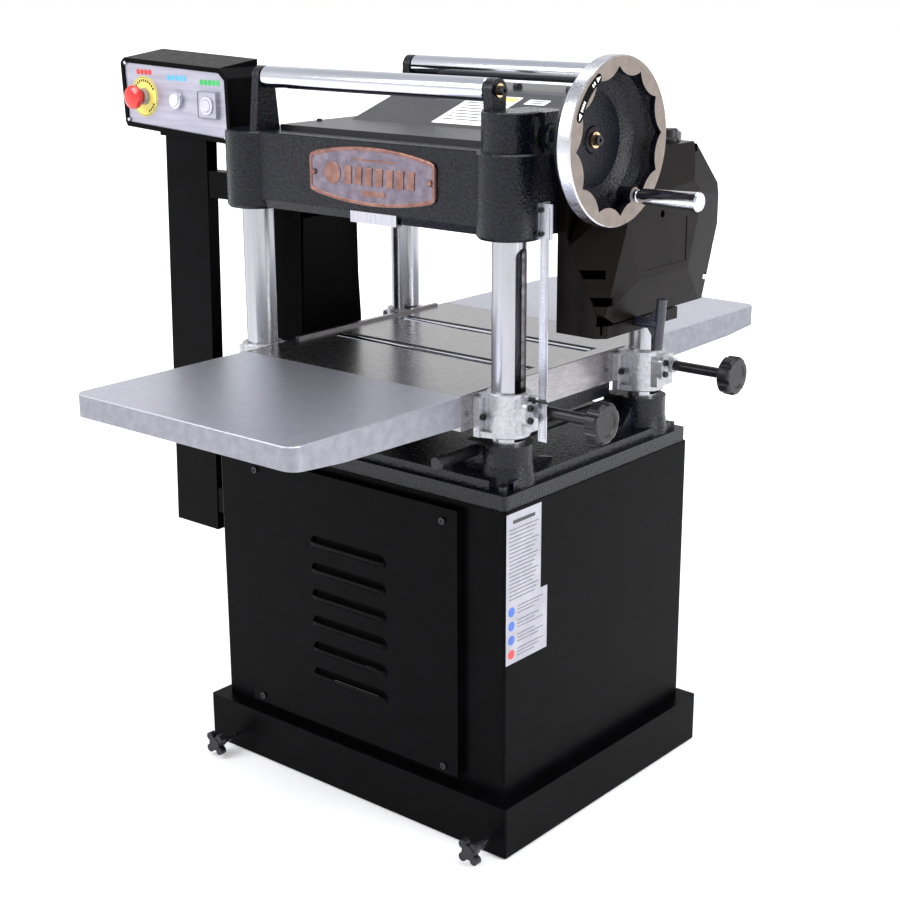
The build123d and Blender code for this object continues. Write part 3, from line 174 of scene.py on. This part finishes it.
ASSIGN = {
    "wrinkle": ["base_casting", "head_casting", "elevation_gearbox", "roller_brackets", "motor_housing"],
    "wheel_in": [],
    "powder": ["base_plinth", "caster_forks", "cabinet_shell", "cabinet_door", "belt_guard", "control_post", "control_box"],
    "hood": ["top_cover", "dust_hood"],
    "cover": ["gear_housing", "gear_cover"],
    "iron": ["main_table"],
    "wing": ["infeed_wing", "outfeed_wing"],
    "hammer": ["table_collars"],
    "steel": ["columns", "cutterhead", "motor_pulley", "gear_cluster", "infeed_roller", "outfeed_roller", "antikickback_fingers", "drive_chains", "shaft_bearings"],
    "screw": ["leadscrew_front_left", "leadscrew_front_right", "leadscrew_rear_left", "leadscrew_rear_right"],
    "chrome": ["return_roller_front", "return_roller_rear", "crank_handle", "bed_roller_front", "bed_roller_rear"],
    "alu": ["height_scale", "depth_stop"],
    "plastic": ["oil_cap", "lock_knob_front", "lock_knob_rear", "brake_knob_left", "brake_knob_right"],
    "navy": ["speed_lever"],
    "rubber": ["v_belts", "front_wheels", "rear_wheels"],
    "copper": ["name_plate"],
    "bronze": ["lift_nuts"],
    "brass": ["handwheel_shaft"],
    "oxide": ["machine_screws", "table_fittings", "lifting_bar_left", "lifting_bar_right"],
    "panel": ["control_panel"],
    "red": ["stop_button"],
    "pale": ["start_button"],
}
for k, names in ASSIGN.items():
    for n in names:
        o = NODES[n]
        for i in range(len(o.data.materials)):
            o.data.materials[i] = MAT[k]
        if not o.data.materials:
            o.data.materials.append(MAT[k])


def two_tone(node, first, second, test):
    """Gives the faces of a CAD node for which test(centre, normal) holds a second material."""
    o = NODES[node]
    me = o.data
    me.materials.clear()
    me.materials.append(MAT[first])
    me.materials.append(MAT[second])
    for f in me.polygons:
        f.material_index = 1 if test(f.center, f.normal) else 0


wc = Vector((0.0, -0.160, 1.210))


def rr(c):
    return math.hypot(c.y - wc.y, c.z - wc.z)


# the wheel is black casting with a turned rim and face
two_tone("handwheel", "wheel_in", "rim", lambda c, n: (n.x > 0.9 and c.x > 0.4695) or rr(c) > 0.1285)
two_tone("handwheel_shaft", "oxide", "brass", lambda c, n: 0.4246 < c.x < 0.4272 and rr(c) > 0.006)
# the table below its ground top gets the black wrinkle paint: painted shade for its shadowed underside
two_tone("main_table", "iron", "wrinkle", lambda c, n: c.z < 0.7379)
# wing faces that do not face up get the darker copy: painted shade on the sides and undersides
two_tone("infeed_wing", "wing", "wing_side_shade", lambda c, n: n.z < 0.7)
two_tone("outfeed_wing", "wing", "wing_side_shade", lambda c, n: n.z < 0.7)
me = NODES["handwheel"].data
me.materials.append(MAT["face"])
for f in me.polygons:
    if f.normal.x > 0.9 and f.center.x > 0.4695:
        f.material_index = 2
two_tone("brake_knob_left", "plastic", "steel", lambda c, n: c.y > -0.3175)
two_tone("brake_knob_right", "plastic", "steel", lambda c, n: c.y > -0.3175)
two_tone("machine_screws", "oxide", "brass", lambda c, n: c.z > 1.25 and abs(c.x) > 0.25 and abs(c.x) < 0.276 and n.x * c.x > 0 and (abs(c.y) > 0.15) and abs(abs(c.x) - (0.270 if c.x > 0 else 0.275)) < 0.0012)
two_tone("front_wheels", "rubber", "steel", lambda c, n: math.hypot(c.y + 0.255, c.z - 0.030) < 0.0075)
two_tone("rear_wheels", "rubber", "steel", lambda c, n: math.hypot(c.y - 0.255, c.z - 0.030) < 0.0075)
two_tone("speed_lever", "navy", "steel", lambda c, n: c.x < 0.4365)

# soft edges that catch the light
BEV = {"cabinet_shell": 1.2, "cabinet_door": 0.8, "base_plinth": 1.2, "base_casting": 1.6, "head_casting": 1.6, "gear_cover": 1.2, "gear_housing": 1.2, "control_box": 1.2,
       "control_post": 1.0, "dust_hood": 1.0, "top_cover": 0.7, "belt_guard": 1.2, "roller_brackets": 1.2, "elevation_gearbox": 1.6, "table_collars": 1.4, "infeed_wing": 1.0,
       "outfeed_wing": 1.0, "main_table": 0.8, "lock_knob_front": 1.6, "lock_knob_rear": 1.6, "brake_knob_left": 1.4, "brake_knob_right": 1.4, "speed_lever": 1.4,
       "handwheel": 0.8, "height_scale": 0.2, "name_plate": 0.6, "machine_screws": 0.35, "table_fittings": 0.35, "stop_button": 0.6, "start_button": 0.5, "depth_stop": 0.3}
for n, w in BEV.items():
    o = NODES[n]
    b = o.modifiers.new("soft_edge", "BEVEL")
    b.width = w / 1000
    b.segments = 2
    b.limit_method = "ANGLE"
    b.angle_limit = math.radians(34)
    b.harden_normals = False
    b.use_clamp_overlap = True


# ---------------------------------------------------------------- mesh helpers
def piece(name, verts, faces, mat, body, smooth=False, bevel=0.0):
    me = bpy.data.meshes.new(name)
    me.from_pydata([tuple(v) for v in verts], [], faces)
    me.validate()
    bm = bmesh.new()
    bm.from_mesh(me)
    bmesh.ops.remove_doubles(bm, verts=bm.verts, dist=1e-6)
    bmesh.ops.recalc_face_normals(bm, faces=bm.faces)
    bm.to_mesh(me)
    bm.free()
    me.materials.append(MAT[mat])
    o = bpy.data.objects.new(name, me)
    bpy.context.scene.collection.objects.link(o)
    if smooth:
        for f in me.polygons:
            f.use_smooth = True
    if bevel:
        b = o.modifiers.new("edge", "BEVEL")
        b.width = bevel
        b.segments = 2
        b.limit_method = "ANGLE"
    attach(o, body)
    return o


def slab(name, outline, to3, t, mat, body, holes=None, bevel=0.0):
    """A plate from a 2-D outline; to3(u, v, w) places it, w from 0 to t."""
    n = len(outline)
    v = [to3(u, w, 0.0) for u, w in outline] + [to3(u, w, t) for u, w in outline]
    f = [tuple(range(n)), tuple(range(2 * n - 1, n - 1, -1))] + [(i, (i + 1) % n, n + (i + 1) % n, n + i) for i in range(n)]
    return piece(name, v, f, mat, body, bevel=bevel)


def ringslab(name, outer, inner, to3, t, mat, body, bevel=0.0):
    """A frame between two outlines with equal point counts."""
    n = len(outer)
    v = [to3(a, b, 0) for a, b in outer] + [to3(a, b, 0) for a, b in inner] + [to3(a, b, t) for a, b in outer] + [to3(a, b, t) for a, b in inner]
    f = []
    for i in range(n):
        j = (i + 1) % n
        f += [(i, j, n + j, n + i), (2 * n + i, 3 * n + i, 3 * n + j, 2 * n + j), (i, 2 * n + i, 2 * n + j, j), (n + i, n + j, 3 * n + j, 3 * n + i)]
    return piece(name, v, f, mat, body, bevel=bevel)


def rrect(cx, cy, w, h, r, k=6):
    out = []
    for (sx, sy, a0) in ((1, 1, 0), (-1, 1, 90), (-1, -1, 180), (1, -1, 270)):
        for i in range(k + 1):
            a = math.radians(a0 + 90 * i / k)
            out.append((cx + sx * (w / 2 - r) + r * math.cos(a), cy + sy * (h / 2 - r) + r * math.sin(a)))
    return out


def circle(cx, cy, r, n=64):
    return [(cx + r * math.cos(2 * math.pi * i / n), cy + r * math.sin(2 * math.pi * i / n)) for i in range(n)]


def lathe(name, prof, origin, axis, mat, body, n=64, smooth=True):
    """Profile of (along, radius) turned about an axis through origin."""
    ax = Vector(axis).normalized()
    u = ax.orthogonal().normalized()
    w = ax.cross(u)
    v, f = [], []
    for a, r in prof:
        for i in range(n):
            t = 2 * math.pi * i / n
            v.append(Vector(origin) + ax * a + (u * math.cos(t) + w * math.sin(t)) * r)
    for k in range(len(prof) - 1):
        for i in range(n):
            j = (i + 1) % n
            f.append((k * n + i, k * n + j, (k + 1) * n + j, (k + 1) * n + i))
    f.append(tuple(range(n)))
    f.append(tuple(range((len(prof) - 1) * n, len(prof) * n)))
    return piece(name, v, f, mat, body, smooth=False)


# ---------------------------------------------------------------- control panel graphics
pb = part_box("control_panel")
PY = pb[0][1] + 0.0120        # front of the flat panel (the collar stands 12 mm proud of it)
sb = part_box("stop_button")
SC = ((sb[0][0] + sb[1][0]) / 2, (sb[0][2] + sb[1][2]) / 2)
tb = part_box("start_button")
TCN = ((tb[0][0] + tb[1][0]) / 2, (tb[0][2] + tb[1][2]) / 2)
LC = (-0.495, 1.2275)


def onpanel(off=0.0):
    return lambda u, v, w: (u, PY - off - w, v)


ringslab("stop_disc", circle(*SC, 0.0375), circle(*SC, 0.0155), onpanel(), 0.0012, "yellow", "root")
ringslab("stop_disc_line", circle(*SC, 0.0362), circle(*SC, 0.0350), onpanel(0.0012), 0.0002, "ink", "root")
lathe("stop_cap", [(0.0, 0.0175), (0.0, 0.0215), (-0.002, 0.0222), (-0.006, 0.0222), (-0.0095, 0.0205), (-0.0125, 0.0150), (-0.0138, 0.006), (-0.014, 0.0005)],
      (SC[0], sb[0][1] + 0.0133, SC[1]), (0, 1, 0), "red", "stop")
lathe("lamp_ring", [(0.0, 0.0165), (-0.005, 0.0172), (-0.0078, 0.0160), (-0.0085, 0.0130), (-0.006, 0.0122)], (LC[0], PY, LC[1]), (0, 1, 0), "chrome", "root")
lathe("lamp_lens", [(-0.004, 0.0125), (-0.009, 0.0120), (-0.0125, 0.0095), (-0.0145, 0.0055), (-0.0152, 0.0005)], (LC[0], PY, LC[1]), (0, 1, 0), "lens", "root")
ringslab("start_frame", rrect(-0.4065, 1.2225, 0.051, 0.049, 0.004), rrect(-0.4065, 1.2225, 0.048, 0.046, 0.003), onpanel(0.0068), 0.0012, "print", "root", bevel=0.0003)
ringslab("start_ring", circle(*TCN, 0.0165), circle(*TCN, 0.0116), onpanel(0.0072), 0.0030, "pale", "root", bevel=0.0004)
for i, a in enumerate([30, 42, 54, 66, 78, 90, 102, 114, 126, 138, -28, -40, -52, -64]):
    t = math.radians(a)
    ux, uz = math.cos(t), math.sin(t)
    tx, tz = -uz, ux
    q = [(SC[0] + 0.0300 * ux + e1 * 0.0026 * ux + e2 * 0.0019 * tx, SC[1] + 0.0300 * uz + e1 * 0.0026 * uz + e2 * 0.0019 * tz) for e1, e2 in ((-1, -1), (1, -1), (1, 1), (-1, 1))]
    slab("stop_tick_%d" % i, q, onpanel(0.0012), 0.0002, "ink", "root")


def bars(name, cx0, z, widths, h, mat, gap=0.0016):
    x = cx0 - (sum(widths) + gap * (len(widths) - 1)) / 2
    for i, w in enumerate(widths):
        slab("%s_%d" % (name, i), rrect(x + w / 2, z, w, h, h * 0.35, 3), onpanel(), 0.0003, mat, "root")
        x += w + gap


bars("mark_stop", SC[0] + 0.001, 1.2745, [0.0095] * 4, 0.0100, "red")
bars("mark_power", LC[0], 1.2670, [0.0095] * 5, 0.0105, "skyblue")
bars("mark_start", TCN[0] + 0.002, 1.2625, [0.0095] * 5, 0.0105, "green")
for i, (x, z) in enumerate(((-0.6345, 1.1845), (-0.3640, 1.1660), (-0.6380, 1.2905))):
    lathe("box_screw_%d" % i, [(0.0, 0.0034), (-0.0012, 0.0034), (-0.0022, 0.0022), (-0.0022, 0.0004)], (x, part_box("control_box")[0][1] + 0.0002, z), (0, 1, 0), "chrome", "root", n=24)

# ---------------------------------------------------------------- name plate: raised border and plain field
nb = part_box("name_plate")
NY = nb[0][1]
ncx, ncz = (nb[0][0] + nb[1][0]) / 2, (nb[0][2] + nb[1][2]) / 2
nw, nh = (nb[1][0] - nb[0][0]) / 2, (nb[1][2] - nb[0][2]) / 2


def plate_outline(inset, k=26):
    w, h = nw - inset, nh - inset
    ends = w - 0.010
    out = []
    for i in range(k + 1):
        t = -1 + 2 * i / k
        x = ends * t
        out.append((ncx + x, ncz + h - 0.0145 * (abs(t) ** 2.2)))
    for i in range(1, 6):
        a = math.pi / 2 * i / 6
        out.append((ncx + ends + 0.010 * math.sin(a), ncz + h - 0.0145 - 0.008 * (1 - math.cos(a))))
    half = [(x, 2 * ncz - z) for x, z in out[::-1]]
    ring = out + half
    left = [(2 * ncx - x, z) for x, z in ring[::-1]]
    pts = [p for p in ring if p[0] >= ncx - 1e-9] + [p for p in left if p[0] < ncx - 1e-9]
    pts.sort(key=lambda p: -math.atan2((p[1] - ncz) / nh, (p[0] - ncx) / nw))
    return pts


def onplate(off=0.0):
    return lambda u, v, w: (u, NY - off - w, v)


ringslab("plate_border", plate_outline(0.0012), plate_outline(0.0062), onplate(), 0.0018, "copper", "root", bevel=0.0006)
slab("plate_field", plate_outline(0.0060), onplate(), 0.0006, "field", "root")
for i in range(7):
    bx = ncx - 0.052 + 0.0235 * i
    slab("plate_bar_%d" % i, [(bx - 0.0080, ncz - 0.0150), (bx + 0.0080, ncz - 0.0150), (bx + 0.0095, ncz + 0.0150), (bx - 0.0065, ncz + 0.0150)], onplate(0.0006), 0.0016, "copper", "root", bevel=0.0005)
slab("plate_oval", circle(ncx - 0.088, ncz + 0.001, 0.0190), onplate(0.0006), 0.0012, "copper", "root", bevel=0.0004)
slab("plate_strip", rrect(ncx + 0.006, ncz - 0.0285, 0.052, 0.0090, 0.003, 4), onplate(0.0006), 0.0009, "copper", "root", bevel=0.0003)
slab("plate_line", rrect(ncx + 0.010, ncz + 0.0270, 0.096, 0.0030, 0.001, 3), onplate(0.0006), 0.0007, "copper", "root")
for i, s in enumerate((-1, 1)):
    lathe("plate_screw_%d" % i, [(0.0, 0.0052), (-0.0010, 0.0052), (-0.0024, 0.0036), (-0.0029, 0.0004)], (ncx + s * (nw - 0.012), NY - 0.0025, ncz), (0, 1, 0), "copper", "root", n=32)

# ---------------------------------------------------------------- height scale: graduation
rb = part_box("height_scale")
RX0, RX1, RY = 0.350, 0.367, rb[0][1]
v, f = [], []


def quad(x0, x1, z0, z1, y):
    k = len(v)
    v.extend([(x0, y, z0), (x1, y, z0), (x1, y, z1), (x0, y, z1)])
    f.append((k, k + 1, k + 2, k + 3))


for i in range(0, 330):
    z = 0.728 + i * 0.001
    ln = 0.010 if i % 10 == 0 else (0.0075 if i % 5 == 0 else 0.0045)
    quad(RX1 - 0.0008 - ln, RX1 - 0.0008, z - 0.00013, z + 0.00013, RY - 0.00012)
for i in range(0, 208):
    z = 0.728 + i * 0.0015875
    ln = 0.007 if i % 8 == 0 else (0.005 if i % 4 == 0 else 0.003)
    quad(RX0 + 0.0008, RX0 + 0.0008 + ln, z - 0.00013, z + 0.00013, RY - 0.00012)
piece("scale_marks", v, f, "ink", "root")

# ---------------------------------------------------------------- handwheel: direction label
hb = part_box("handwheel")
HX = hb[1][0]
R0, R1 = 0.1080, 0.1215


def onwheel(r, a, w):
    a = math.radians(a)
    return (HX + 0.0001 + w, wc.y + r * math.cos(a), wc.z + r * math.sin(a))


A0, A1 = 121.0, 158.0
out = []
for i in range(25):
    out.append((R1, A0 + (A1 - A0) * i / 24))
rm, dr = (R0 + R1) / 2, (R1 - R0) / 2
for i in range(1, 8):
    t = math.pi * i / 8
    out.append((rm + dr * math.cos(t), A1 + math.degrees(dr * math.sin(t) / rm)))
for i in range(25):
    out.append((R0, A1 - (A1 - A0) * i / 24))
for i in range(1, 8):
    t = math.pi * i / 8
    out.append((rm - dr * math.cos(t), A0 - math.degrees(dr * math.sin(t) / rm)))
slab("turn_label", out, onwheel, 0.0004, "dark", "wheel")


def lab(r, a, w):
    return onwheel(r, a, w + 0.0004)


slab("turn_arrow_a", [(rm - 0.0040, A0 + 3.0), (rm + 0.0040, A0 + 3.0), (rm, A0 - 2.2)], lab, 0.0002, "white", "wheel")
slab("turn_arrow_b", [(rm - 0.0040, A1 - 3.0), (rm + 0.0040, A1 - 3.0), (rm, A1 + 2.2)], lab, 0.0002, "white", "wheel")
for i, a in enumerate((A0 + 6.5, A0 + 9.0, A1 - 12.5, A1 - 10.3, A1 - 8.1, A1 - 5.9)):
    slab("turn_mark_%d" % i, [(rm - 0.0026, a - 0.75), (rm + 0.0026, a - 0.75), (rm + 0.0026, a + 0.75), (rm - 0.0026, a + 0.75)], lab, 0.0002, "white", "wheel")

# ---------------------------------------------------------------- labels on the hood and on the cabinet side
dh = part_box("dust_hood")
s0, s1 = Vector((0, -0.036, 1.196)), Vector((0, 0.120, 1.246))
sd = (s1 - s0).normalized()
sn = Vector((0, -sd.z, sd.y))


def onslope(u, v2, w):
    q = s0 + sd * v2 + sn * (0.0003 + w)
    return (u, q.y, q.z)


slab("hood_label", rrect(0.030, 0.078, 0.112, 0.130, 0.003), onslope, 0.0003, "white", "root")
slab("hood_label_head", rrect(0.030, 0.130, 0.104, 0.018, 0.002), lambda a, b, c: onslope(a, b, c + 0.0003), 0.0002, "yellow", "root")
for i in range(7):
    slab("hood_label_line_%d" % i, rrect(0.030 - 0.004 * (i % 3), 0.108 - i * 0.0125, 0.092 - 0.012 * (i % 3), 0.0034, 0.001, 2), lambda a, b, c: onslope(a, b, c + 0.0003), 0.0002, "ink", "root")
slab("hood_label_small", rrect(0.128, 0.126, 0.046, 0.022, 0.002), onslope, 0.0003, "white", "root")
for i in range(2):
    slab("hood_small_line_%d" % i, rrect(0.128, 0.131 - i * 0.009, 0.036, 0.0032, 0.001, 2), lambda a, b, c: onslope(a, b, c + 0.0003), 0.0002, "ink", "root")
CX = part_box("cabinet_shell")[1][0]


def onside(u, v2, w):
    return (CX + 0.0002 + w, u, v2)


slab("side_label", [(-0.270, 0.343), (-0.157, 0.343), (-0.157, 0.457), (-0.176, 0.457), (-0.176, 0.610), (-0.270, 0.610)], onside, 0.0003, "label", "root")


def onlabel(a, b, c):
    return onside(a, b, c + 0.0003)


slab("side_head", rrect(-0.223, 0.594, 0.060, 0.0062, 0.001, 2), onlabel, 0.0002, "ink", "root")
for i in range(19):
    w = 0.080 - 0.011 * ((i * 5) % 4) * 0.5
    slab("side_line_%d" % i, rrect(-0.263 + w / 2, 0.5815 - i * 0.0068, w, 0.0021, 0.0006, 2), onlabel, 0.0002, "print", "root")
for i in range(4):
    z = 0.437 - i * 0.0255
    slab("side_dot_%d" % i, circle(-0.2555, z, 0.0085), onlabel, 0.0002, "red" if i == 3 else "blue", "root")
    for k in range(3):
        w = 0.072 - 0.012 * ((i + k) % 3)
        slab("side_note_%d_%d" % (i, k), rrect(-0.240 + w / 2, z + 0.0062 - 0.0062 * k, w, 0.0020, 0.0006, 2), onlabel, 0.0002, "print", "root")

# ---------------------------------------------------------------- door louvres: pressed hoods that open upwards
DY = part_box("cabinet_door")[0][1]
for i in range(6):
    zc = 0.219 + 0.0514 * i
    L2 = 0.0915
    verts, faces = [], []
    cols, rows = 48, 10
    for a in range(cols + 1):
        u = -1 + 2 * a / cols
        end = max(0.0, 1 - abs(u) ** 10) ** 0.5
        for b in range(rows + 1):
            t = b / rows
            zz = zc - 0.0015 - 0.0125 * t
            out_ = 0.0075 * math.cos(math.pi * 0.5 * t) ** 0.7 * end if t < 1 else 0.0
            verts.append((-0.001 + u * L2, DY + 0.0004 - out_, zz))
    for a in range(cols):
        for b in range(rows):
            k = a * (rows + 1) + b
            faces.append((k, k + 1, k + rows + 2, k + rows + 1))
    o = piece("louvre_%d" % i, verts, faces, "powder", "root", smooth=True)
    md = o.modifiers.new("thick", "SOLIDIFY")
    md.thickness = 0.0012
    # a black sheet inside the door behind each slot: painted shade for the unlit cabinet interior
    slab("louvre_dark_%d" % i, rrect(-0.001, zc, 0.176, 0.0178, 0.0088, 8), lambda a, b, c: (a, DY + 0.0065 + c, b), 0.0005, "dark", "root")

# ---------------------------------------------------------------- studio
bm = bmesh.new()
fl = bpy.data.meshes.new("floor")
fl.from_pydata([(-30, -30, 0), (30, -30, 0), (30, 30, 0), (-30, 30, 0)], [], [(0, 1, 2, 3)])
floor = bpy.data.objects.new("floor", fl)
bpy.context.scene.collection.objects.link(floor)
fm = make("studio_floor", (0.90, 0.90, 0.90), 0.0, 0.8, (0.92, 0.92, 0.92), 3, 2, 0.05, 10, spec=0.1, emit=((1, 1, 1), 0.16))
fl.materials.append(fm)
fn = fm.node_tree
bsdf = next(n for n in fn.nodes if n.type == "BSDF_PRINCIPLED")
co = fn.nodes.new("ShaderNodeTexCoord")
ln = fn.nodes.new("ShaderNodeVectorMath")
ln.operation = "LENGTH"
mr = fn.nodes.new("ShaderNodeMapRange")
mr.inputs["From Min"].default_value = 1.3
mr.inputs["From Max"].default_value = 4.2
mr.inputs["To Min"].default_value = 0.18
mr.inputs["To Max"].default_value = 0.85
fn.links.new(co.outputs["Object"], ln.inputs[0])
fn.links.new(ln.outputs["Value"], mr.inputs["Value"])
fn.links.new(mr.outputs["Result"], bsdf.inputs["Emission Strength"])

w = bpy.data.worlds.new("studio")
bpy.context.scene.world = w
w.use_nodes = True
nt = w.node_tree
bg = nt.nodes["Background"]
tc = nt.nodes.new("ShaderNodeTexCoord")
sep = nt.nodes.new("ShaderNodeSeparateXYZ")
rp = nt.nodes.new("ShaderNodeValToRGB")
nt.links.new(tc.outputs["Generated"], sep.inputs["Vector"])
nt.links.new(sep.outputs["Z"], rp.inputs["Fac"])
e = rp.color_ramp.elements
e[0].position, e[0].color = 0.0, (1.0, 1.0, 1.0, 1)
e[1].position, e[1].color = 1.0, (0.50, 0.52, 0.58, 1)
k = rp.color_ramp.elements.new(0.35)
k.color = (1.0, 1.0, 1.0, 1)
nt.links.new(rp.outputs["Color"], bg.inputs["Color"])
bg.inputs["Strength"].default_value = 1.0


def area(name, loc, target, size, size_y, power, color=(1, 1, 1)):
    d = bpy.data.lights.new(name, "AREA")
    d.shape = "RECTANGLE"
    d.size, d.size_y = size, size_y
    d.energy = power
    d.color = color
    o = bpy.data.objects.new(name, d)
    bpy.context.scene.collection.objects.link(o)
    o.location = loc
    o.rotation_euler = (Vector(target) - Vector(loc)).to_track_quat("-Z", "Y").to_euler()
    return o


area("key", (-1.6, -3.2, 3.0), (0, 0, 0.8), 2.4, 1.8, 105)
area("side", (3.4, 0.4, 2.0), (0.2, 0, 0.9), 1.6, 2.6, 90)
area("top", (0.2, 0.2, 3.8), (0, 0, 0.9), 2.6, 2.6, 90)

bpy.context.scene.view_settings.view_transform = "Standard"
